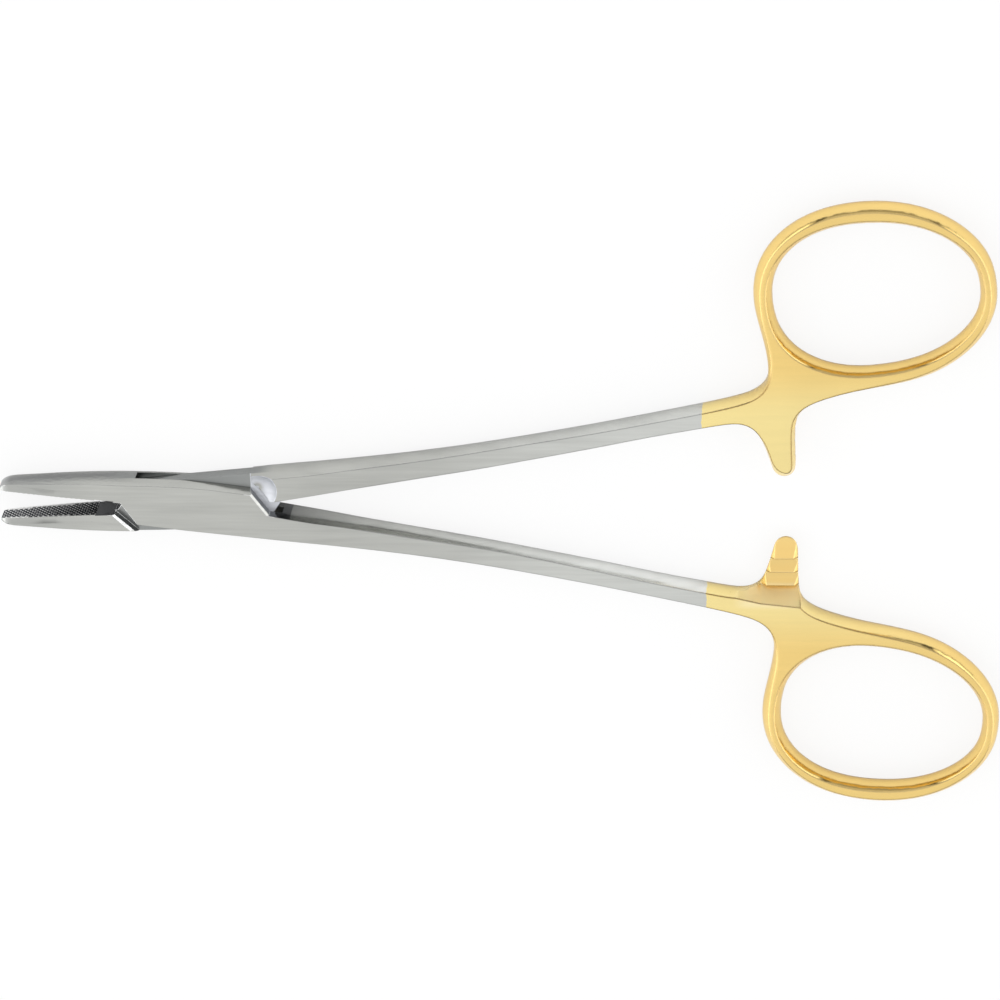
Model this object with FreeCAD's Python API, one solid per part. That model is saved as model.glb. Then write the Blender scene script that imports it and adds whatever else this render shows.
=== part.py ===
import FreeCAD, Part
import math
import os

# Surgical needle holder with a box lock, lying flat with its jaws a little open.
# X runs from the jaw tips (-X) to the finger rings (+X), Z is the hinge axis.
# The origin is on the hinge axis, on the flat underside of the box lock.
# All sizes are millimetres.

# Thickness, measured across the instrument
box_thickness = 4.7
box_half = box_thickness / 2
nose_half = 1.12
jaw_tip_half = 1.50
jaw_middle_half = 1.93
jaw_root_half = 2.15
shank_root_half = 2.17
shank_upper_half = 1.93
shank_middle_half = 1.58
web_half = 1.85
ring_half = 1.78

# Half opening of the pair in the modelled pose, degrees on each side
half_opening = 4.3
closing_angle = 2 * half_opening

# Box lock: the tongue of one half runs in the slot of the other
tongue_half = 0.92
tongue_side_clearance = 0.03
slot_half = tongue_half + tongue_side_clearance
pocket_clearance = 0.25
pin_diameter = 2.0
pin_running_clearance = 0.03

# Jaw faces and the carbide inserts brazed into them
jaw_length = 25.5
insert_length = 12.6
insert_depth = 1.0
insert_back = insert_length - jaw_length
closed_gap = 0.06
root_overlap = 0.4
steel_face_step = 0.18

# Convex sides: how far the middle of a side stands outside the edge
# that it would have on the box lock's full thickness
tip_crown = 0.5
box_crown = 0.6
shank_crown = 0.76
ring_crown = 1.3
shank_inner_crown = 1.0
inner_root_crown = 0.10

# Sloping ends of the two cheeks, corner and foot of each face edge
cheek_jaw_corner = (-9.8, 0.62)
cheek_jaw_foot = (-7.9, -2.2)
cheek_jaw_bevel = 0.35
cheek_jaw_bevel_depth = 0.8
cheek_shank_corner = (7.9, 2.0)
cheek_shank_foot = (10.09, -1.1)
cheek_shank_bevel = 0.25
cheek_shank_bevel_depth = 0.25

# Shoulder of the lower jaw: the wall of the pocket that the cheek closes towards
shoulder_top = (-10.13, -1.19)
shoulder_foot = (-8.09, -3.09)
shoulder_bevel = 0.3

# End walls of the slot, which the tongue faces
slot_jaw_corner = (-10.4, 0.7)
slot_jaw_end = (-7.2, 4.1)
slot_shank_corner = (11.5, -1.35)
slot_shank_end = (8.7, -4.5)

# Dished scoop where the pocket runs out on the tongue half's shank
scoop_centre = (8.45, 2.6)
scoop_floor = tongue_half + 0.03
scoop_face_radius = 2.7

# Finger opening, an egg shape lying almost along X, and the bar round it
ring_centre = (88.85, 29.9)
ring_opening_half_length = 13.15
ring_opening_half_width = 9.9
ring_tilt = 6.3
ring_squareness = 2.32
ring_taper = -0.07
ring_drop = -0.066
ring_bar_near = 2.42
ring_bar_far = 2.15
ring_bar_sides = 2.66

# Heights in plan over which the shank's section turns into the ring's
ring_foot = (15.2, 19.0)

# Ratchet arms: one half in front of the middle plane, the other behind it
arm_gap = 0.08
arm_end = 4.42
arm_left = 69.5
arm_middle = 73.5
arm_right = 80.5
tooth_first = 7.65
tooth_pitch = 1.93
tooth_count = 3
tooth_depth = 0.75
tooth_root = tooth_first + (tooth_count - 1) * tooth_pitch
tooth_bevel = 0.64
tooth_left_edge = ((73.5, tooth_root), (75.75, 3.4))
tooth_right_edge = ((78.3, 3.4), (78.34, tooth_root))
step_left = 12.2
step_middle = 13.15
step_right = 13.9

# Outer edge of jaw and box, from the tip over the jaw to the cheek's end
jaw_nose = (-jaw_length, 2.32)
jaw_outer_edge = [
    (-25.3, 2.67), (-24.8, 2.93), (-24.0, 3.12), (-22.0, 3.26), (-19.0, 3.46),
    (-15.0, 3.70), (-11.0, 3.82), (-7.0, 3.82), (-3.0, 3.71), (0.2, 3.53),
    (3.0, 3.24), (5.8, 2.86), (9.0, 2.45), (12.5, 2.05),
]

# Outer edge of box and shank, then the hollow where the ring begins
shank_outer_edge = [
    (-12.0, 2.25), (-8.0, 2.84), (-3.2, 3.45), (0.0, 3.82), (4.0, 4.25),
    (8.0, 4.66), (12.0, 5.10), (16.0, 5.53), (20.0, 5.98), (24.0, 6.47),
    (28.0, 6.97), (32.0, 7.54), (36.0, 8.16), (44.0, 9.58), (52.0, 11.14),
    (60.0, 12.84), (66.0, 14.16), (69.6, 15.02), (71.5, 15.57), (73.0, 16.2),
    (74.15, 17.1), (74.8, 18.2), (74.98, 19.6), (74.85, 21.1),
]

# From the ring down the ratchet arm, round its end and up to the shank
arm_edge = [
    (84.4, 16.15), (81.6, 15.25), (79.75, 14.3), (78.65, 12.9), (78.35, 11.0),
    (78.32, 8.2), (78.3, 6.1), (78.05, 5.2), (77.5, 4.63), (76.75, arm_end),
    (76.0, 4.63), (75.45, 5.2), (75.12, 6.1), (74.62, 7.8), (74.05, 9.6),
    (73.4, 11.0), (72.4, 11.78), (71.0, 12.0), (69.4, 11.85),
]

# Inner edge of the shank, back into the box
shank_inner_edge = [
    (66.0, 11.2), (60.0, 9.92), (52.0, 8.2), (44.0, 6.55), (36.0, 4.95),
    (32.0, 4.22), (28.0, 3.50), (24.0, 2.82), (20.0, 2.20), (16.0, 1.62),
    (12.0, 1.12), (8.0, 0.48), (4.0, -0.15), (-4.0, -1.4), (-12.0, -2.6),
]

# Side view: half thickness at distances from the hinge
jaw_stations = [
    (-jaw_length, nose_half), (-25.0, jaw_tip_half - 0.15), (-24.0, jaw_tip_half),
    (-21.0, (jaw_tip_half + jaw_middle_half) / 2), (-18.0, jaw_middle_half),
    (-13.0, jaw_root_half), (-10.0, box_half - 0.02), (-8.6, box_half),
]
shank_stations = [
    (14.0, box_half), (18.0, shank_root_half), (24.0, shank_upper_half),
    (32.0, (shank_upper_half + shank_middle_half) / 2), (42.0, shank_middle_half),
    (52.0, (shank_middle_half + web_half) / 2), (60.0, web_half - 0.06), (68.0, web_half),
]
ring_stations = [(77.0, web_half), (84.0, ring_half)]

# Levels and lengths of cutting bodies, beyond all that they cut
reach = 8.0
spare = 0.4
cut_overlap = 0.05
jaw_level = box_half + spare / 2
handle_level = box_half + spare
span = ring_centre[1] + ring_opening_half_width + 2 * reach


def vec(point, z):
    return FreeCAD.Vector(point[0], point[1], z)


def unit(a, b):
    length = math.hypot(b[0] - a[0], b[1] - a[1])
    return ((b[0] - a[0]) / length, (b[1] - a[1]) / length)


def along(point, direction, distance):
    return (point[0] + direction[0] * distance, point[1] + direction[1] * distance)


def left_of(direction):
    return (-direction[1], direction[0])


def turned(point, degrees):
    c = math.cos(math.radians(degrees))
    s = math.sin(math.radians(degrees))
    return (point[0] * c - point[1] * s, point[0] * s + point[1] * c)


def polygon(points, z):
    return Part.makePolygon([vec(p, z) for p in points + [points[0]]])


def prism(points, low, high):
    face = Part.Face(polygon(points, low))
    return face.extrude(FreeCAD.Vector(0, 0, high - low))


def leaning_prism(low_points, low, high_points, high):
    return Part.makeLoft([polygon(low_points, low), polygon(high_points, high)], True, True)


def flipped(shape):
    """The same shape for the other half: mirrored across the XZ plane."""
    return shape.mirror(FreeCAD.Vector(0, 0, 0), FreeCAD.Vector(0, 1, 0))


def back_side(shape):
    """The same cut on the back face: mirrored across the middle plane."""
    return shape.mirror(FreeCAD.Vector(0, 0, 0), FreeCAD.Vector(0, 0, 1))


def band_right_of(a, b, grow, width):
    """Plan outline of a band right of the line a to b, grown to its left."""
    n = left_of(unit(a, b))
    return [along(a, n, grow), along(b, n, grow), along(b, n, -width), along(a, n, -width)]


def ground_right_of(a, b, grow):
    """Plan outline of all that lies right of the line a to b, grown to its left."""
    d = unit(a, b)
    return band_right_of(along(a, d, -reach), along(b, d, reach), grow, 3 * reach)


def crown_at(point, inner):
    """How far a side's middle stands out, at a point of the half's outline."""
    x, y = point
    if y > ring_foot[0]:
        share = min(1.0, (y - ring_foot[0]) / (ring_foot[1] - ring_foot[0]))
        return shank_crown + (ring_crown - shank_crown) * share
    if x < -15:
        return tip_crown + (box_crown - tip_crown) * (x + jaw_length) / (jaw_length - 15)
    if inner and x < 26:
        share = max(0.0, (x - 10.0) / 16.0)
        return inner_root_crown + (shank_inner_crown - inner_root_crown) * share
    if inner and x < 62:
        return shank_inner_crown
    share = min(1.0, max(0.0, (x - 12.0) / 12.0))
    return box_crown + (shank_crown - box_crown) * share


def inset(points, inner, level):
    """Edge of a convex side at a level: the chain moved to its right."""
    share = (level / box_half) ** 2
    last = len(points) - 1
    moved = []
    for i, p in enumerate(points):
        n = left_of(unit(points[max(i - 1, 0)], points[min(i + 1, last)]))
        moved.append(along(p, n, -share * crown_at(p, i >= inner)))
    return moved


def level_wire(points, closing, z):
    curve = Part.BSplineCurve()
    curve.interpolate([vec(p, z) for p in points])
    edges = [curve.toShape()]
    tail = [points[-1]] + closing + [points[0]]
    for a, b in zip(tail, tail[1:]):
        edges.append(Part.makeLine(vec(a, z), vec(b, z)))
    return Part.Wire(edges)


def crowned_body(points, inner, closing, level):
    """Solid with convex sides along the points and flat sides along the rest."""
    levels = (-level, 0.0, level)
    wires = [level_wire(inset(points, inner, z), closing, z) for z in levels]
    return Part.makeLoft(wires, True, False)


def egg_point(degrees, near, far, sides):
    """Point on the finger opening's edge, moved outward at its ends and sides."""
    c = math.cos(math.radians(degrees))
    s = math.sin(math.radians(degrees))
    power = 2.0 / ring_squareness
    x = ring_opening_half_length * math.copysign(abs(c) ** power, c)
    y = ring_opening_half_width * math.copysign(abs(s) ** power, s)
    share = x / ring_opening_half_length
    y *= 1 + ring_taper * share + ring_drop * share * share
    end = far if c > 0 else near
    outward = (end * c * c + sides * s * s) / math.hypot(x, y)
    x, y = turned((x * (1 + outward), y * (1 + outward)), ring_tilt)
    return (ring_centre[0] + x, ring_centre[1] + y)


def finger_opening():
    """Hole through the ring, wider at both faces because its wall is convex."""
    wires = []
    for z in (-handle_level - 0.1, 0.0, handle_level + 0.1):
        grow = ring_crown * (z / box_half) ** 2
        points = [vec(egg_point(a, grow, grow, grow), z) for a in range(5, 365, 12)]
        curve = Part.BSplineCurve()
        curve.interpolate(points, PeriodicFlag=True)
        wires.append(Part.Wire(curve.toShape()))
    return Part.makeLoft(wires, True, False)


def swept_edges(stations):
    """Smooth edges through the stations of the side view, level at both ends."""
    flat = FreeCAD.Vector(1, 0, 0)
    points = [FreeCAD.Vector(x, 0, h) for x, h in stations]
    curve = Part.BSplineCurve()
    curve.interpolate(Points=points, InitialTangent=flat, FinalTangent=flat)
    knots = curve.getKnots()
    return [curve.toShape(a, b) for a, b in zip(knots, knots[1:])]


def side_view():
    """Block with the side view's outline, wider than the whole instrument."""
    jaw = [FreeCAD.Vector(x, 0, h) for x, h in jaw_stations]
    corners = [FreeCAD.Vector(x, 0, h) for x, h in (
        jaw_stations[-1], shank_stations[0], shank_stations[-1], ring_stations[0], ring_stations[-1],
    )]
    nose = FreeCAD.Vector(jaw[0].x - 1, 0, jaw[0].z)
    tail = FreeCAD.Vector(span * 2, 0, ring_half)
    jaw_curve = Part.BSplineCurve()
    jaw_curve.interpolate(jaw)
    upper = [
        Part.makeLine(nose, jaw[0]), jaw_curve.toShape(), Part.makeLine(corners[0], corners[1]),
        Part.makeLine(corners[2], corners[3]), Part.makeLine(corners[4], tail),
    ]
    upper += swept_edges(shank_stations) + swept_edges(ring_stations)
    lower = [back_side(edge) for edge in upper]
    ends = [Part.makeLine(p, FreeCAD.Vector(p.x, 0, -p.z)) for p in (nose, tail)]
    face = Part.Face(Part.Wire(Part.__sortEdges__(upper + lower + ends)))
    face.translate(FreeCAD.Vector(0, -span, 0))
    return face.extrude(FreeCAD.Vector(0, 2 * span, 0))


def face_line(x, lift):
    """Height of a jaw's working face at x, lifted off the closing plane."""
    return lift - x * math.tan(math.radians(half_opening))


def jaw_side():
    """Jaw and the part of the box above the closing plane, jaw pointing up."""
    right = jaw_outer_edge[-1][0]
    lift = closed_gap / 2
    closing = [
        (right, face_line(right, -root_overlap)), (0, lift),
        (-jaw_length, face_line(-jaw_length, lift)), jaw_nose,
    ]
    return crowned_body(jaw_outer_edge, len(jaw_outer_edge), closing, jaw_level)


def handle_side():
    """Lower part of the box, shank, ring and blank arm, handle pointing up."""
    bars = (ring_bar_near, ring_bar_far, ring_bar_sides)
    ring = [egg_point(a, *bars) for a in range(192, -80, -12)]
    outer = shank_outer_edge + ring
    points = outer + arm_edge + shank_inner_edge
    return crowned_body(points, len(outer), [], handle_level).cut(finger_opening())


def arm_cuts():
    """What an arm behind the middle plane gives up: its front half and tooth gaps."""
    crest = -arm_gap / 2
    valley = crest - tooth_depth
    top = handle_level
    inner = tooth_root + tooth_pitch / 20
    grow = (top - valley) / (web_half - valley)
    left, middle, right = [inner + (y - inner) * grow for y in (step_left, step_middle, step_right)]
    start = [(arm_left, tooth_root - cut_overlap), (arm_right, tooth_root - cut_overlap)]
    floor = start + [(arm_right, inner), (arm_middle, inner), (arm_left, inner)]
    face = start + [(arm_right, right), (arm_middle, middle), (arm_left, left)]
    cuts = [leaning_prism(floor, valley, face, top)]
    near = arm_end - spare
    for i in range(tooth_count):
        ledge = tooth_first + i * tooth_pitch
        profile = [(near, top), (near, valley), (ledge, crest), (ledge, top)]
        points = [FreeCAD.Vector(arm_left, y, z) for y, z in profile]
        face = Part.Face(Part.makePolygon(points + [points[0]]))
        cuts.append(face.extrude(FreeCAD.Vector(arm_right - arm_left, 0, 0)))
        near = ledge
    low = crest - tooth_bevel
    for a, b in (tooth_left_edge, tooth_right_edge):
        foot = band_right_of(a, b, -spare, tooth_pitch)
        head = band_right_of(a, b, top - low, tooth_pitch)
        cuts.append(leaning_prism(foot, low - spare, head, top))
    return cuts


def cheek_end(foot, corner, bevel, depth):
    """Cut along a sloping cheek end, with a bevel on both faces."""
    plain = ground_right_of(foot, corner, 0)
    grown = ground_right_of(foot, corner, bevel * (depth + spare) / depth)
    lean = leaning_prism(plain, box_half - depth, grown, box_half + spare)
    return [prism(plain, -reach, reach), lean, back_side(lean)]


def slot():
    """Slot through the box for the tongue, open along both edges of the box."""
    jaw_wall = unit(slot_jaw_corner, slot_jaw_end)
    shank_wall = unit(slot_shank_corner, slot_shank_end)
    outline = [
        slot_jaw_corner, (slot_jaw_corner[0], -reach),
        along(slot_shank_end, shank_wall, reach / 2), slot_shank_corner,
        (slot_shank_corner[0], reach), along(slot_jaw_end, jaw_wall, reach / 2),
    ]
    return prism(outline, -slot_half, slot_half)


def pocket():
    """Pocket in the tongue half for a cheek, as wide as the closed pose needs."""
    c, d = [turned(p, closing_angle) for p in (cheek_shank_corner, cheek_shank_foot)]
    side = left_of(unit(d, c))
    right = [along(p, side, -pocket_clearance) for p in (c, d)]
    down = unit(shoulder_top, shoulder_foot)
    head = along(shoulder_top, down, -reach)
    foot = along(shoulder_foot, down, reach / 2)
    outline = [head, foot, along(right[1], unit(c, d), reach), right[0], (right[0][0], 2 * reach)]
    low = box_half - shoulder_bevel
    top = box_half + spare
    bevel = leaning_prism(
        band_right_of(foot, head, 0, pocket_clearance), low,
        band_right_of(foot, head, top - low, pocket_clearance), top,
    )
    return prism(outline, tongue_half, top).fuse(bevel)


def cheek_room():
    """What the tongue's end gives up beside the slot, so that a cheek passes it."""
    corners = [(0, -reach), (2 * reach, -reach), (2 * reach, reach), (0, reach)]
    return prism(corners, tongue_half, box_half + spare)


def scoop():
    """Ball that dishes the shank from the pocket's floor up to its face."""
    depth = box_half - scoop_floor
    radius = (scoop_face_radius ** 2 + depth ** 2) / (2 * depth)
    return Part.makeSphere(radius, vec(scoop_centre, scoop_floor + radius))


def insert_ground():
    """Strip along the working face that the carbide insert fills."""
    left = -jaw_length - 1
    return prism([
        (left, -reach), (insert_back, -reach), (insert_back, face_line(insert_back, insert_depth)),
        (left, face_line(left, insert_depth)),
    ], -reach, reach)


def steel_face():
    """Thin cut that sets the steel face behind the insert back a little."""
    right = slot_jaw_corner[0]
    return prism([
        (insert_back, -reach), (right, -reach), (right, face_line(right, steel_face_step)),
        (insert_back, face_line(insert_back, steel_face_step)),
    ], -reach, reach)


def pin_cylinder(clearance):
    radius = pin_diameter / 2 + clearance
    return Part.makeCylinder(radius, box_thickness, FreeCAD.Vector(0, 0, -box_half))


def cut_all(shape, cuts):
    for cut in cuts:
        shape = shape.cut(cut)
    return shape


def box_lock_parts():
    """Slotted half: its jaw points up and its shank runs down. Returns half, insert."""
    jaw_foot, jaw_corner = cheek_jaw_foot, cheek_jaw_corner
    jaw_end = cheek_end(jaw_corner, jaw_foot, cheek_jaw_bevel, cheek_jaw_bevel_depth)
    shank_end = cheek_end(cheek_shank_foot, cheek_shank_corner, cheek_shank_bevel, cheek_shank_bevel_depth)
    upper = cut_all(jaw_side(), shank_end)
    lower = cut_all(flipped(cut_all(handle_side(), arm_cuts())), jaw_end)
    blank = upper.fuse(lower).common(side_view())
    insert = upper.common(side_view()).common(insert_ground())
    half = cut_all(blank, [insert_ground(), steel_face(), slot(), pin_cylinder(0)])
    return half, insert


def tongue_parts():
    """Tongue half: its jaw points down and its shank runs up. Returns half, insert."""
    jaw_end = [turned(p, closing_angle) for p in (slot_jaw_end, slot_jaw_corner)]
    shank_end = [turned(p, closing_angle) for p in (slot_shank_end, slot_shank_corner)]
    tongue_jaw_end = prism(ground_right_of(*jaw_end, pocket_clearance), -reach, reach)
    tongue_shank_end = prism(ground_right_of(*shank_end, pocket_clearance), -reach, reach)
    arm = [back_side(cut) for cut in arm_cuts()]
    upper = cut_all(handle_side(), arm + [tongue_jaw_end])
    room = [cheek_room(), back_side(cheek_room())]
    lower = cut_all(flipped(jaw_side()), [tongue_shank_end] + room)
    blank = upper.fuse(lower).common(side_view())
    insert = lower.common(side_view()).common(flipped(insert_ground()))
    cuts = [
        flipped(insert_ground()), flipped(steel_face()), pocket(), back_side(pocket()),
        scoop(), back_side(scoop()), pin_cylinder(pin_running_clearance),
    ]
    return cut_all(blank, cuts), insert


def write(shape, name):
    """Export one solid, stood on its underside at z = 0."""
    shape = shape.copy()
    shape.translate(FreeCAD.Vector(0, 0, box_half))
    shape.exportStep("parts/" + name + ".step")


def main():
    os.makedirs("parts", exist_ok=True)
    box_half_body, upper_insert = box_lock_parts()
    tongue_half_body, lower_insert = tongue_parts()
    write(box_half_body, "box_lock_half")
    write(tongue_half_body, "tongue_half")
    write(pin_cylinder(0), "pivot_pin")
    write(upper_insert, "upper_jaw_insert")
    write(lower_insert, "lower_jaw_insert")


main()
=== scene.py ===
import math

import bmesh
import bpy
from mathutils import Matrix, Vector


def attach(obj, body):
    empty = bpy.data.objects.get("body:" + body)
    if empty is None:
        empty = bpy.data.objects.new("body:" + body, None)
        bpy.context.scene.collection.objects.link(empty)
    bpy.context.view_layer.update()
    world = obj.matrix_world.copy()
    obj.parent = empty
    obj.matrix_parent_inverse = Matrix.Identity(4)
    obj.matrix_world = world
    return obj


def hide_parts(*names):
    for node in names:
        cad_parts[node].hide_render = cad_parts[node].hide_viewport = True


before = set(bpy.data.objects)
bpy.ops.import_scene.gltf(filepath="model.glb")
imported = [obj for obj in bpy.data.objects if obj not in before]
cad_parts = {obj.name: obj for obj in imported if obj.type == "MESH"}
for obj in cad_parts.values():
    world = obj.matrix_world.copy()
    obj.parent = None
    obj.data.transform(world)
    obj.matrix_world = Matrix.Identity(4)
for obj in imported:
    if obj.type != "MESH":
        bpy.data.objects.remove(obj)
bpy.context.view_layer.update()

MM = 0.001

# Colours of the steel, from the satin faces to the painted shade of the walls in the lock.
# The side colour is painted light, the facet colour a painted highlight, the floor colour
# painted shade in the slot that also darkens the jaws, the ridge colour painted shade along
# edges, and the scoop colour a painted sheen. The worn colour is real wear on edges and a
# painted highlight on the shoulders.
STEEL = (0.475, 0.48, 0.455, 1.0)
STEEL_FAR = (0.60, 0.61, 0.585, 1.0)
STEEL_SIDE_LIGHT = (0.88, 0.89, 0.87, 1.0)
STEEL_WORN_AND_HIGHLIGHT = (0.78, 0.79, 0.79, 1.0)
STEEL_PAINTED_HIGHLIGHT = (0.95, 0.96, 0.96, 1.0)
STEEL_SCOOP_SHEEN = (0.80, 0.82, 0.86, 1.0)
STEEL_FLOOR = (0.30, 0.31, 0.305, 1.0)
STEEL_PAINTED_SHADE = (0.17, 0.175, 0.18, 1.0)
STEEL_RIDGE_SHADE = (0.24, 0.245, 0.24, 1.0)

# Colours of the plating and of the carbide. The gold ridge colour is painted shade along
# edges, the worn gold is real wear on edges and painted light under the teeth, and the
# carbide's near-black is painted shade in the grooves, with a near-white painted highlight on
# the pyramid tips.
GOLD_WEB = (0.92, 0.755, 0.335, 1.0)
GOLD_RING = (0.90, 0.65, 0.235, 1.0)
GOLD_TEETH = (0.95, 0.67, 0.25, 1.0)
GOLD_RIDGE_SHADE = (0.20, 0.095, 0.02, 1.0)
GOLD_WORN_AND_LIGHT = (0.98, 0.84, 0.50, 1.0)
CARBIDE_GROOVE_SHADE = (0.030, 0.034, 0.042, 1.0)
CARBIDE_GRAIN = (0.085, 0.088, 0.10, 1.0)
CARBIDE_TIP_HIGHLIGHT = (0.97, 0.97, 0.96, 1.0)
WHITE = (1.0, 1.0, 1.0, 1.0)
FLOOR_WHITE = (0.92, 0.92, 0.92, 1.0)

# Sizes that the solids have too, in millimetres
MID_HEIGHT = 2.35
FACE_LIFT = 0.03
HALF_OPENING = math.radians(4.3)
SLOT_HALF = 0.96
SCOOP_CENTRE = (8.45, 2.6)
SCOOP_REACH = 2.75
TONGUE_ROOT_Y = 0.45
TONGUE_ROOT_SLOPE = 0.07
PLATING_FROM = 66.4
PLATING_WAVE = 0.5

# Stretches of the part, in millimetres from the hinge axis. A look that fades does so
# from the first number to the second.
TIP_X = (-25.0, -24.0)
DARKER_JAW_X = (-22.0, -12.0)
RIDGE_START_X = (-13.0, -9.0)
JAW_RIM_X = (-10.5, -6.0)
INSERT_END_X = (-12.2, -11.8)
INSERT_DEPTH = (0.95, 1.15)
STEEL_FACE_X = (-13.5, -9.5)
STEEL_FACE_DEPTH = (0.24, 0.34)
LOCK_X = (-10.6, 12.6)
BOX_INSIDE_Y = (-2.6, 2.4)
SLOT_FLOOR_X = (-9.0, 8.2)
SLOT_FLOOR_FADE = 2.5
JAW_SHOULDER_X = (-11.2, -7.6)
JAW_SHOULDER_Y = (-3.15, 0.8)
SHANK_SHOULDER_X = (6.8, 10.6)
SHANK_SHOULDER_Y = (-1.4, 2.1)
RUN_OUT_X = (7.6, 12.0)
SHADE_START_X = (10.0, 12.0)
SHADE_X = (12.0, 24.0)
SIDE_START_X = (11.0, 14.0)
SIDE_X = (34.0, 66.0)
LIGHTER_SHANK_X = (20.0, 64.0)
WEB_TO_RING_Y = (13.0, 21.0)
RING_BOLD_Y = (16.5, 20.0)
RING_RIDGE_Y = (17.0, 21.0)
TEETH_X = (72.0, 79.0)
TEETH_Y = (13.0, 13.6)
TEETH_HEIGHT = (0.2, 1.7)
LEDGE_X = (72.0, 77.5)
LEDGE_Y = (11.8, 13.2)
LEDGE_BODY_Y = (-1.0, 0.0)
STEP_X = (71.0, 78.0)
STEP_Y = (11.6, 14.2)

# How edges are rounded in shading: radii in millimetres, and where each is added
EDGE_BOX, EDGE_SHANK, EDGE_SHANK_X = 0.12, 0.25, (14.0, 26.0)
EDGE_WEB, EDGE_WEB_X = 0.10, (62.0, 72.0)
EDGE_RING, EDGE_RING_Y = 0.15, (15.5, 19.0)
PIN_END = (1.2, 2.0)

# An edge is found by the cosine between its rounded normal and the flat one
WORN_COSINE = (0.93, 0.998)
RIDGE_COSINE = (0.93, 0.98)
BOLD_COSINE = (0.95, 0.995)

# How far a face is from lying flat: 1 is flat and 0 is upright
FLAT = (0.93, 0.985)
UPRIGHT = (0.15, 0.30)
BEVELLED = (0.3, 0.93)
SIDE_FACE = (0.55, 0.85)
RIM_FACE = (0.0, 0.45)
STEP_FACE = (0.2, 0.8)
LEANING = (0.2, 0.3)
LOWER_EDGE_UP = (-0.40, -0.12)
LOWER_EDGE_LEVEL = (0.75, 0.85)

# Pyramids on the working faces of the jaws, in millimetres
PYRAMID_PITCH = 0.47
PYRAMID_DEPTH = 0.17
PYRAMID_FLAT = 0.01
PYRAMID_FROM, PYRAMID_TO = 12.2, 26.6
PYRAMID_HALF_WIDTH = 2.6
PYRAMID_TIP = (0.06, 0.11)
CUTTER_THICK = 0.6
EDGE_MARGIN = 0.30
EDGE_DEPTH = 0.06
WELD = 0.0005

# Half thickness of a jaw at its root, and how it tapers towards the tip
JAW_ROOT = 13.0
JAW_ROOT_HALF = 2.15
JAW_TAPER = 0.059

# Camera at the photo's angle, and the tent's light
CAMERA_PLACE = (124.15, 350.13, 739.62)
CAMERA_ANGLES = (-25.4468, 5.5215, -2.1233)
CAMERA_LENS = 228.29
TENT_LOW, TENT_HIGH = 0.34, 0.92
PANEL_LEVEL = 1.9
HOLE_WAY = (0.10, 0.425, 0.90)
FLOOR_LIFT = 0.06


class Nodes:
    """Short calls for building a node tree. Calls named _mm take lengths in millimetres."""

    def __init__(self, tree):
        self.tree = tree
        tree.nodes.clear()

    def add(self, kind, links=None, **values):
        node = self.tree.nodes.new(kind)
        for key, value in values.items():
            setattr(node, key, value)
        for key, value in (links or {}).items():
            socket = node.inputs[key]
            if isinstance(value, bpy.types.NodeSocket):
                self.tree.links.new(value, socket)
            else:
                socket.default_value = value
        return node

    def math(self, operation, *values):
        return self.add("ShaderNodeMath", dict(enumerate(values)), operation=operation).outputs[0]

    def product(self, first, *others):
        for other in others:
            first = self.math("MULTIPLY", first, other)
        return first

    def largest(self, a, b):
        return self.math("MAXIMUM", a, b)

    def linear(self, value, slope, start):
        return self.math("MULTIPLY_ADD", value, slope, start)

    def length(self, a, b):
        squares = self.math("ADD", self.product(a, a), self.product(b, b))
        return self.math("SQRT", squares)

    def dot(self, a, b):
        node = self.add("ShaderNodeVectorMath", {0: a, 1: b}, operation="DOT_PRODUCT")
        return node.outputs["Value"]

    def mix(self, factor, a, b):
        return self.add("ShaderNodeMix", {0: factor, 6: a, 7: b}, data_type="RGBA").outputs[2]

    def blend(self, factor, a, b):
        return self.add("ShaderNodeMix", {0: factor, 2: a, 3: b}).outputs[0]

    def ramp(self, value, span, start=0.0, end=1.0):
        """Goes smoothly from start to end while the value crosses the span."""
        links = {0: value, 1: span[0], 2: span[1], 3: start, 4: end}
        return self.add("ShaderNodeMapRange", links, interpolation_type="SMOOTHSTEP").outputs[0]

    def ramp_mm(self, value, span, start=0.0, end=1.0):
        return self.ramp(value, [edge * MM for edge in span], start, end)

    def within(self, value, span, soft):
        """1 inside the span, fading to 0 over a soft width outside it."""
        low, high = span
        above = self.ramp(value, (low - soft, low))
        return self.product(above, self.ramp(value, (high, high + soft), 1.0, 0.0))

    def within_mm(self, value, span, soft):
        return self.within(value, [edge * MM for edge in span], soft * MM)

    def noise(self, vector, scale, stretch=(1, 1, 1), detail=3.0, rough=0.5):
        moved = self.add("ShaderNodeMapping", {"Vector": vector, "Scale": stretch}).outputs[0]
        links = {"Vector": moved, "Scale": scale, "Detail": detail, "Roughness": rough}
        return self.add("ShaderNodeTexNoise", links).outputs["Fac"]


class Spot:
    """Where the shaded point of a piece lies and how its face lies, as sockets."""

    def __init__(self, n):
        self.place = n.add("ShaderNodeTexCoord").outputs["Object"]
        self.x, self.y, z = n.add("ShaderNodeSeparateXYZ", {0: self.place}).outputs[:3]
        geometry = n.add("ShaderNodeNewGeometry").outputs
        self.normal = geometry["Normal"]
        parts = n.add("ShaderNodeSeparateXYZ", {0: geometry["True Normal"]}).outputs[:3]
        self.over, self.across, self.up = parts
        self.level = n.math("ABSOLUTE", self.up)
        self.aside = n.math("ABSOLUTE", self.y)
        self.outward = n.product(self.across, n.math("SIGN", self.y))
        self.from_middle = n.math("ABSOLUTE", n.math("SUBTRACT", z, MID_HEIGHT * MM))
        side = n.product(self.aside, math.cos(HALF_OPENING))
        lean = n.linear(self.x, math.sin(HALF_OPENING), -FACE_LIFT * MM)
        self.depth = n.math("ADD", side, lean)


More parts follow.
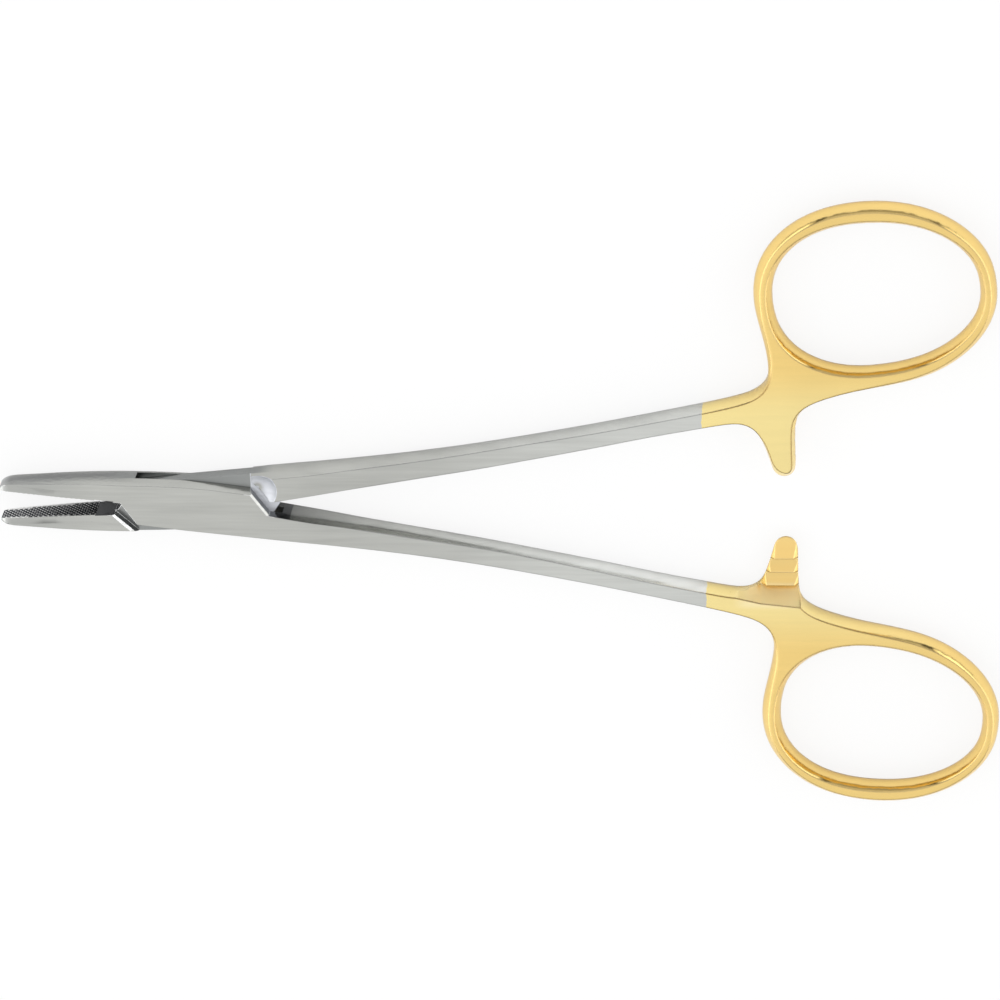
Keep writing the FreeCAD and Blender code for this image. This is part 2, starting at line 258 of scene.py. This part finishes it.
def new_material(name):
    material = bpy.data.materials.new(name)
    material.use_nodes = True
    return material, Nodes(material.node_tree)


def plated(n, at):
    """1 on the handle end, behind a slightly wavy border of the plating."""
    wave = n.noise(at.place, 900.0, detail=2.0)
    border = n.linear(wave, PLATING_WAVE * MM, (PLATING_FROM - PLATING_WAVE / 2) * MM)
    return n.ramp_mm(n.math("SUBTRACT", at.x, border), (-0.05, 0.05))


def lock_shade(n, at, dished):
    """1 where shade is painted: on the upright faces inside the lock and behind the inserts, and
    on the inner sides between the shanks near the lock.
    """
    upright = n.ramp(at.level, UPRIGHT, 1.0, 0.0)
    if dished:
        root = n.linear(at.x, TONGUE_ROOT_SLOPE, TONGUE_ROOT_Y * MM)
        inside = n.ramp_mm(n.math("SUBTRACT", at.y, root), (-0.05, 0.05), 1.0, 0.0)
    else:
        inside = n.within_mm(at.y, BOX_INSIDE_Y, 0.1)
    wall_shade = n.product(upright, inside, n.within_mm(at.x, LOCK_X, 0.05))
    steel_face_shade = n.product(n.ramp_mm(at.depth, STEEL_FACE_DEPTH, 1.0, 0.0),
                           n.within_mm(at.x, STEEL_FACE_X, 0.1), upright)
    shade_between_shanks = n.product(n.ramp(at.outward, (-0.8, -0.5), 1.0, 0.0),
                               n.ramp_mm(at.x, SHADE_X, 0.22, 0.0),
                               n.ramp_mm(at.x, SHADE_START_X))
    return n.largest(n.largest(wall_shade, steel_face_shade), shade_between_shanks)


def rounded_normal(n, at):
    """Normal with rounded edges, but none at the pin's ends and beside the inserts."""
    seam = n.product(n.ramp_mm(at.x, INSERT_END_X, 1.0, 0.0),
                     n.ramp_mm(at.depth, INSERT_DEPTH, 1.0, 0.0))
    radius = n.ramp_mm(at.x, EDGE_SHANK_X, EDGE_BOX * MM, EDGE_SHANK * MM)
    radius = n.math("ADD", radius, n.ramp_mm(at.x, EDGE_WEB_X, 0.0, EDGE_WEB * MM))
    radius = n.math("ADD", radius, n.ramp_mm(at.aside, EDGE_RING_Y, 0.0, EDGE_RING * MM))
    radius = n.product(radius, n.ramp_mm(n.length(at.x, at.y), PIN_END),
                       n.math("SUBTRACT", 1.0, seam))
    return n.add("ShaderNodeBevel", {"Radius": radius}, samples=8).outputs[0]


def edge_masks(n, at, rounded, gold):
    """Masks for worn edges and for painted marks: painted shade along ridges and lower edges, a
    painted highlight on the shoulders' edges, and painted light on the jaw's facet.
    """
    cosine = n.dot(rounded, at.normal)
    worn_and_highlight, ridge_shade, bold_ridge_shade = [n.ramp(cosine, span, 1.0, 0.0)
                         for span in (WORN_COSINE, RIDGE_COSINE, BOLD_COSINE)]
    jaw_shoulder = n.product(n.within_mm(at.x, JAW_SHOULDER_X, 0.1),
                             n.within_mm(at.y, JAW_SHOULDER_Y, 0.1))
    shank_shoulder = n.product(n.within_mm(at.x, SHANK_SHOULDER_X, 0.1),
                               n.within_mm(at.y, SHANK_SHOULDER_Y, 0.1))
    shoulder_highlight = n.largest(jaw_shoulder, shank_shoulder)
    facet_highlight = n.product(jaw_shoulder, n.within(at.level, BEVELLED, 0.05))

    # Wear on all edges, and a stronger painted highlight on the edges of the shoulders
    worn_and_highlight = n.product(worn_and_highlight, n.linear(shoulder_highlight, 0.7, 0.3))
    worn_and_highlight = n.largest(worn_and_highlight, n.ramp_mm(at.x, TIP_X, 0.25, 0.0))

    # Painted shade: dark lines along the ridges, bolder on the plated webs and fainter on the
    # rings, and along the lower edges of the sides
    bold_ridge_shade = n.product(bold_ridge_shade, gold, n.ramp_mm(at.aside, RING_BOLD_Y, 1.0, 0.0))
    ridge_shade = n.product(ridge_shade, n.ramp_mm(at.aside, RING_RIDGE_Y, 1.0, 0.55))
    ridge_shade = n.product(n.largest(ridge_shade, bold_ridge_shade), n.math("SUBTRACT", 1.0, shoulder_highlight),
                      n.ramp_mm(at.x, RIDGE_START_X))
    lower_edge_shade = n.product(n.ramp(at.up, LOWER_EDGE_UP, 0.7, 0.0),
                           n.ramp(at.level, LOWER_EDGE_LEVEL, 1.0, 0.0))
    return worn_and_highlight, n.largest(ridge_shade, lower_edge_shade), shoulder_highlight, facet_highlight


def scoop_sheen_mask(n, at, inner, flat):
    """1 where a painted sheen goes: in the hollow-ground scoop of the tongue half and on its
    run-out in the slot.
    """
    away = [n.math("SUBTRACT", a, b * MM) for a, b in zip((at.x, at.y), SCOOP_CENTRE)]
    lean = n.math("ADD", n.product(at.over, away[0]), n.product(at.across, away[1]))
    scoop_sheen = n.product(n.ramp_mm(lean, (-0.25, -0.05), 1.0, 0.0),
                      n.ramp_mm(n.length(*away), (SCOOP_REACH, SCOOP_REACH + 0.1), 1.0, 0.0),
                      n.ramp(at.level, LEANING))
    return n.largest(scoop_sheen, n.product(n.within_mm(at.x, RUN_OUT_X, 0.1), inner, flat))


def steel_colour(n, at, masks, wall_shade, inner):
    worn_and_highlight, ridge_shade, shoulder_highlight, facet_highlight = masks
    # Painted shade on the faces inside the slot, in the dark colour that also darkens the jaws
    # towards the tip
    slot_floor_shade = n.product(inner, n.within_mm(at.x, SLOT_FLOOR_X, SLOT_FLOOR_FADE))
    # Painted light: the inner sides of the shanks are lightened, more towards the handles
    side = n.product(n.ramp(at.level, SIDE_FACE, 1.0, 0.0),
                     n.ramp(at.outward, (-0.6, -0.3), 1.0, 0.0),
                     n.ramp_mm(at.x, SIDE_X, 0.18, 0.65), n.ramp_mm(at.x, SIDE_START_X))
    # Painted shade on the outer rim of the jaws, darkest where the rim turns upright
    jaw_rim_shade = n.product(n.ramp(at.outward, (0.05, 0.15)), n.ramp_mm(at.x, JAW_RIM_X, 1.0, 0.0),
                        n.ramp(at.level, RIM_FACE, 0.75, 0.0))
    layers = (
        (n.ramp_mm(at.x, LIGHTER_SHANK_X), STEEL_FAR),
        (n.ramp_mm(at.x, DARKER_JAW_X, 0.35, 0.0), STEEL_FLOOR),
        (side, STEEL_SIDE_LIGHT),
        (jaw_rim_shade, STEEL_PAINTED_SHADE),
        (slot_floor_shade, STEEL_FLOOR),
        # Painted shade inside the lock, behind the inserts and between the shanks
        (wall_shade, STEEL_PAINTED_SHADE),
        (worn_and_highlight, STEEL_WORN_AND_HIGHLIGHT),
        # Painted highlight on the shoulders' edges and on the jaw's facet
        (n.product(worn_and_highlight, shoulder_highlight), STEEL_PAINTED_HIGHLIGHT),
        (n.product(ridge_shade, 0.6), STEEL_RIDGE_SHADE),
        (facet_highlight, STEEL_PAINTED_HIGHLIGHT),
    )
    colour = STEEL
    for mask, layer in layers:
        colour = n.mix(mask, colour, layer)
    return colour


def gold_colour(n, at, masks, teeth):
    worn_and_highlight, ridge_shade = masks[:2]
    # Painted light on the step below the lower arm's teeth, in the colour that the worn edges
    # have too
    ledge_light = n.product(n.within_mm(at.aside, LEDGE_Y, 1.0), n.within_mm(at.x, LEDGE_X, 2.5),
                      n.ramp_mm(at.y, LEDGE_BODY_Y, 0.75, 0.0))
    colour = n.mix(n.ramp_mm(at.aside, WEB_TO_RING_Y), GOLD_WEB, GOLD_RING)
    colour = n.mix(teeth, colour, GOLD_TEETH)
    colour = n.mix(n.largest(worn_and_highlight, ledge_light), colour, GOLD_WORN_AND_LIGHT)
    # Painted shade along the ridges, fainter on the teeth
    return n.mix(n.product(ridge_shade, n.linear(teeth, -0.8, 0.85)), colour, GOLD_RIDGE_SHADE)


def metal_half(name, dished):
    """Satin steel with gold plating on the handle end, brushed along X."""
    material, n = new_material(name)
    at = Spot(n)
    flat = n.ramp(at.level, FLAT)
    gold = plated(n, at)
    inner = n.ramp_mm(at.from_middle, (SLOT_HALF, SLOT_HALF + 0.01), 1.0, 0.0)
    rounded = rounded_normal(n, at)
    masks = edge_masks(n, at, rounded, gold)
    worn_and_highlight, facet_highlight = masks[0], masks[3]
    teeth = n.product(n.ramp_mm(at.from_middle, TEETH_HEIGHT, 1.0, 0.0),
                      n.within_mm(at.x, TEETH_X, 0.5), n.ramp_mm(at.aside, TEETH_Y, 1.0, 0.0))

    streak = n.noise(at.place, 1500.0, (0.06, 1, 1), 4.0, 0.6)
    brushed = n.noise(at.place, 1500.0, (0.05, 1, 0.2), 3.0, 0.6)
    broad = n.noise(at.place, 160.0, (0.35, 1, 1))
    grain = n.noise(at.place, 5200.0, detail=2.0)

    steel = steel_colour(n, at, masks, lock_shade(n, at, dished), inner)
    rough_steel = n.blend(flat, 0.20, n.linear(streak, 0.14, 0.24))
    rough_gold = n.blend(flat, 0.10, n.linear(broad, 0.10, 0.16))
    rough = n.blend(gold, rough_steel, rough_gold)
    rough = n.math("SUBTRACT", rough, n.product(worn_and_highlight, 0.06))
    step = n.product(n.within_mm(at.aside, STEP_Y, 0.1), n.within_mm(at.x, STEP_X, 1.0),
                     n.within(at.level, STEP_FACE, 0.05))
    rough = n.linear(n.largest(step, n.product(teeth, 0.5)), 0.45, rough)
    rough = n.linear(facet_highlight, 0.40, rough)
    if dished:
        scoop_sheen = scoop_sheen_mask(n, at, inner, flat)
        # Painted sheen: a light bluish colour in the scoop and on its run-out
        steel = n.mix(scoop_sheen, steel, STEEL_SCOOP_SHEEN)
        rough = n.linear(scoop_sheen, 0.30, rough)

    colour = n.mix(gold, steel, gold_colour(n, at, masks, teeth))
    lines = n.product(n.math("SUBTRACT", brushed, 0.5), n.linear(gold, -0.27, 0.35))
    tone = n.math("ADD", n.linear(broad, 0.10, 0.95), lines)
    colour = n.add("ShaderNodeHueSaturation", {"Color": colour, "Value": tone}).outputs[0]

    relief = {"Strength": 0.07, "Distance": 0.05 * MM, "Height": n.linear(grain, 0.35, streak),
              "Normal": rounded}
    finish(n, colour, rough, relief)
    return material


def carbide():
    """Sintered carbide: near-black as painted shade in the grooves, with a near-white painted
    highlight on the pyramid tips.
    """
    material, n = new_material("tungsten_carbide")
    at = Spot(n)
    grain = n.noise(at.place, 3000.0, detail=4.0)
    tip_highlight = n.ramp_mm(at.depth, PYRAMID_TIP, 1.0, 0.0)
    # Painted shade for the grooves and a painted highlight on the tips
    colour = n.mix(tip_highlight, n.mix(grain, CARBIDE_GROOVE_SHADE, CARBIDE_GRAIN), CARBIDE_TIP_HIGHLIGHT)
    relief = {"Strength": 0.2, "Distance": 0.02 * MM, "Height": grain}
    finish(n, colour, n.linear(grain, 0.20, 0.25), relief)
    return material


def finish(n, colour, rough, relief):
    """Ends a metal's node tree with its relief and its shader."""
    bump = n.add("ShaderNodeBump", relief).outputs[0]
    links = {"Base Color": colour, "Metallic": 1.0, "Roughness": rough, "Normal": bump}
    shader = n.add("ShaderNodeBsdfPrincipled", links).outputs[0]
    n.add("ShaderNodeOutputMaterial", {"Surface": shader})


def dress(node, material):
    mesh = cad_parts[node].data
    mesh.materials.clear()
    mesh.materials.append(material)


def face_frame(side):
    """Axes of a working face: its start, the way from the jaw's root to its tip, and the
    way down into the jaw. Side is 1 for the upper jaw and -1 for the lower."""
    along = Vector((-math.cos(HALF_OPENING), side * math.sin(HALF_OPENING), 0))
    depth = Vector((math.sin(HALF_OPENING), side * math.cos(HALF_OPENING), 0))
    return Vector((0, side * FACE_LIFT, MID_HEIGHT)) * MM, along, depth


def pyramid_cutter(side):
    """Closed block whose inner face is the negative of rows of small pyramids."""
    start, along, depth = face_frame(side)
    step = PYRAMID_PITCH / math.sqrt(2)
    rows = math.ceil(PYRAMID_HALF_WIDTH / step)
    bm = bmesh.new()
    grid = {}
    for i in range(int(PYRAMID_FROM / step), math.ceil(PYRAMID_TO / step) + 1):
        for j in range(-rows, rows + 1):
            down = PYRAMID_DEPTH if (i + j) % 2 else PYRAMID_FLAT
            room = JAW_ROOT_HALF - (i * step - JAW_ROOT) * JAW_TAPER - abs(j) * step
            if room < EDGE_MARGIN:
                down = min(down, EDGE_DEPTH)
            offset = along * (i * step) + depth * down + Vector((0, 0, j * step))
            grid[i, j] = bm.verts.new(start + offset * MM)
    ring = ((1, 0), (0, 1), (-1, 0), (0, -1), (1, 0))
    for (i, j), peak in list(grid.items()):
        if (i + j) % 2:
            continue
        for (a, b), (c, d) in zip(ring, ring[1:]):
            if (i + a, j + b) in grid and (i + c, j + d) in grid:
                bm.faces.new((peak, grid[i + a, j + b], grid[i + c, j + d]))
    raised = bmesh.ops.extrude_face_region(bm, geom=bm.faces[:], use_keep_orig=True)["geom"]
    corners = [v for v in raised if isinstance(v, bmesh.types.BMVert)]
    bmesh.ops.translate(bm, verts=corners, vec=depth * -CUTTER_THICK * MM)
    loose = [v for v in bm.verts if not v.link_faces]
    bmesh.ops.delete(bm, geom=loose, context="VERTS")
    bmesh.ops.recalc_face_normals(bm, faces=bm.faces[:])
    mesh = bpy.data.meshes.new("cutter")
    bm.to_mesh(mesh)
    bm.free()
    return mesh


def link(name, data):
    obj = bpy.data.objects.new(name, data)
    bpy.context.scene.collection.objects.link(obj)
    return obj


def serrated_insert(name, node, body, side, face_material, side_material):
    """The insert's solid with pyramids cut into its working face."""
    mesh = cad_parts[node].data.copy()
    bm = bmesh.new()
    bm.from_mesh(mesh)
    bmesh.ops.remove_doubles(bm, verts=bm.verts[:], dist=WELD * MM)
    bm.to_mesh(mesh)
    bm.free()
    blank = link(name, mesh)
    tool = link("cutter", pyramid_cutter(side))
    cut = blank.modifiers.new("pyramids", "BOOLEAN")
    cut.operation, cut.solver, cut.object = "DIFFERENCE", "EXACT", tool
    bpy.context.view_layer.update()
    done = blank.evaluated_get(bpy.context.evaluated_depsgraph_get())
    made = bpy.data.meshes.new_from_object(done)
    blank.modifiers.clear()
    blank.data = made
    bpy.data.objects.remove(tool)
    out = -face_frame(side)[2]
    made.materials.clear()
    made.materials.append(side_material)
    made.materials.append(face_material)
    for face in made.polygons:
        face.material_index = 1 if face.normal.dot(out) > 0.4 else 0
    made.update()
    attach(blank, body)
    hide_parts(node)


def main_camera():
    camera = link("camera", bpy.data.cameras.new("camera"))
    camera.location = [part * MM for part in CAMERA_PLACE]
    camera.rotation_euler = [math.radians(angle) for angle in CAMERA_ANGLES]
    camera.data.sensor_width = 36.0
    camera.data.lens = CAMERA_LENS
    camera.data.clip_start = 0.01
    bpy.context.scene.camera = camera
    bpy.context.scene.view_settings.view_transform = "Standard"


def floor():
    """Pale floor that looks almost white to the camera and keeps the part's shadow."""
    bm = bmesh.new()
    bmesh.ops.create_grid(bm, x_segments=8, y_segments=8, size=1.5)
    mesh = bpy.data.meshes.new("floor")
    bm.to_mesh(mesh)
    bm.free()
    material, n = new_material("floor_white")
    path = n.add("ShaderNodeLightPath").outputs
    seen = n.product(path["Is Camera Ray"], 0.85)
    diffuse = n.add("ShaderNodeBsdfDiffuse", {"Color": FLOOR_WHITE}).outputs[0]
    white = n.add("ShaderNodeEmission", {"Color": WHITE, "Strength": 1.0}).outputs[0]
    both = n.add("ShaderNodeMixShader", {0: seen, 1: diffuse, 2: white}).outputs[0]
    n.add("ShaderNodeOutputMaterial", {"Surface": both})
    mesh.materials.append(material)
    link("floor", mesh)


def sky():
    """Soft tent: bright overhead, a panel on either side, and a hole to look in by."""
    world = bpy.data.worlds.new("tent")
    bpy.context.scene.world = world
    world.use_nodes = True
    n = Nodes(world.node_tree)
    way = n.add("ShaderNodeTexCoord").outputs["Generated"]
    x, y, z = n.add("ShaderNodeSeparateXYZ", {0: way}).outputs[:3]
    aside = n.math("ABSOLUTE", x)
    tent = n.ramp(z, (0.0, 0.7), TENT_LOW, TENT_HIGH)
    panel = n.product(n.ramp(aside, (0.56, 0.62)), n.ramp(z, (0.02, 0.12)),
                      n.ramp(z, (0.60, 0.75), 1.0, 0.0))
    strip = n.product(n.ramp(aside, (0.44, 0.50)), n.ramp(aside, (0.54, 0.58), 0.8, 0.0),
                      n.ramp(y, (0.0, 0.1)))
    hole = n.ramp(n.dot(way, HOLE_WAY), (0.988, 0.995), 0.0, 0.45)
    light = n.product(n.blend(panel, tent, PANEL_LEVEL),
                      n.math("SUBTRACT", 1.0, n.largest(strip, hole)))
    on_floor = n.add("ShaderNodeLightPath").outputs["Is Diffuse Ray"]
    light = n.product(light, n.linear(on_floor, FLOOR_LIFT, 1.0))
    back = n.add("ShaderNodeBackground", {"Color": WHITE, "Strength": light}).outputs[0]
    n.add("ShaderNodeOutputWorld", {"Surface": back})


def softbox():
    """Large, weak lamp that gives the part a soft shadow."""
    data = bpy.data.lights.new("softbox", "AREA")
    data.shape = "RECTANGLE"
    data.size = data.size_y = 0.8
    data.energy = 0.35
    lamp = link("softbox", data)
    place, target = Vector((-0.5, -0.6, 1.2)), Vector((0.04, 0, 0))
    lamp.location = place
    lamp.rotation_mode = "QUATERNION"
    lamp.rotation_quaternion = (target - place).to_track_quat("-Z", "Y")


slotted = metal_half("satin_steel_and_gold_slotted", False)
tongued = metal_half("satin_steel_and_gold_tongued", True)
dress("box_lock_half", slotted)
dress("tongue_half", tongued)
dress("pivot_pin", slotted)
hard = carbide()
serrated_insert("upper_serrated_insert", "upper_jaw_insert", "fixed_half", 1, hard, slotted)
serrated_insert("lower_serrated_insert", "lower_jaw_insert", "moving_half", -1, hard, tongued)

floor()
sky()
softbox()
main_camera()
